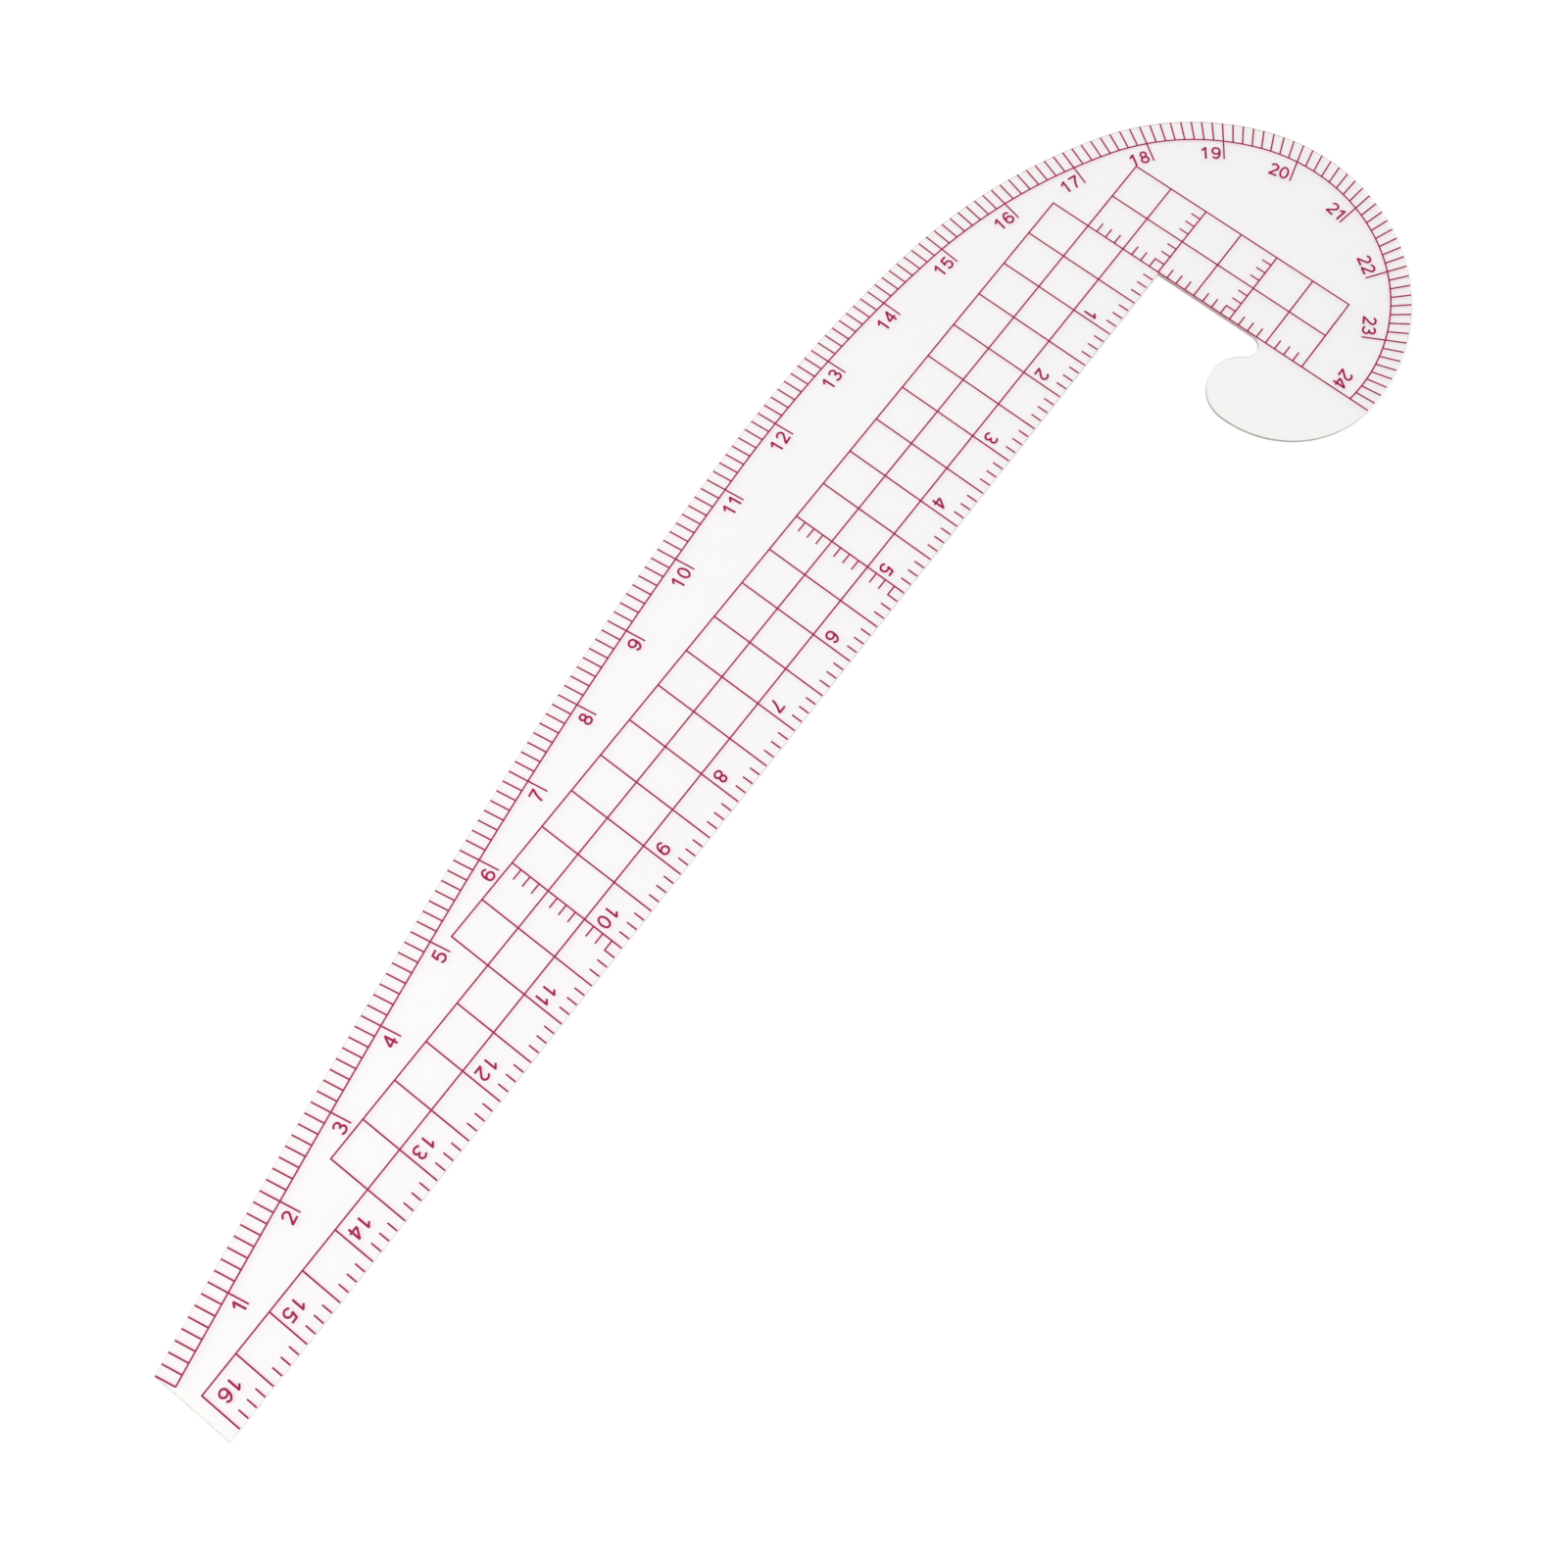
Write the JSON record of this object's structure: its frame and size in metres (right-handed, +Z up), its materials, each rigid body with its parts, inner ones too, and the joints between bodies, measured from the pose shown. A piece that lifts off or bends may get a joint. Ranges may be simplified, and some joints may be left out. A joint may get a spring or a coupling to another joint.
{
  "type": "french curve",
  "caption": "Clear plastic drafting curve with a straight edge, a hooked head and a magenta printed inch scale and grid.",
  "frame": {"origin": "on the underside, below the middle of the sheet's box", "axes": "+Z up through the printed face, +X along the straight edge from the tip to the head, +Y from the straight edge to the long curve"},
  "size_m": [0.4731, 0.141, 0.001],
  "materials": {
    "clear_plastic": "clear, polished on both faces",
    "magenta_ink": "screen-printed ink"
  },
  "bodies": {
    "root": {"clear_sheet": "clear_plastic", "zero_line": "magenta_ink", "blade_grid": "magenta_ink", "head_grid": "magenta_ink", "short_leg_ticks": "magenta_ink", "head_cross_ticks": "magenta_ink", "cross_scale_5": "magenta_ink", "cross_scale_10": "magenta_ink", "straight_edge_ticks": "magenta_ink", "straight_numerals": "magenta_ink", "curve_base_line": "magenta_ink", "curve_eighth_ticks": "magenta_ink", "curve_inch_marks": "magenta_ink", "curve_numerals": "magenta_ink"}
  },
  "joints": []
}
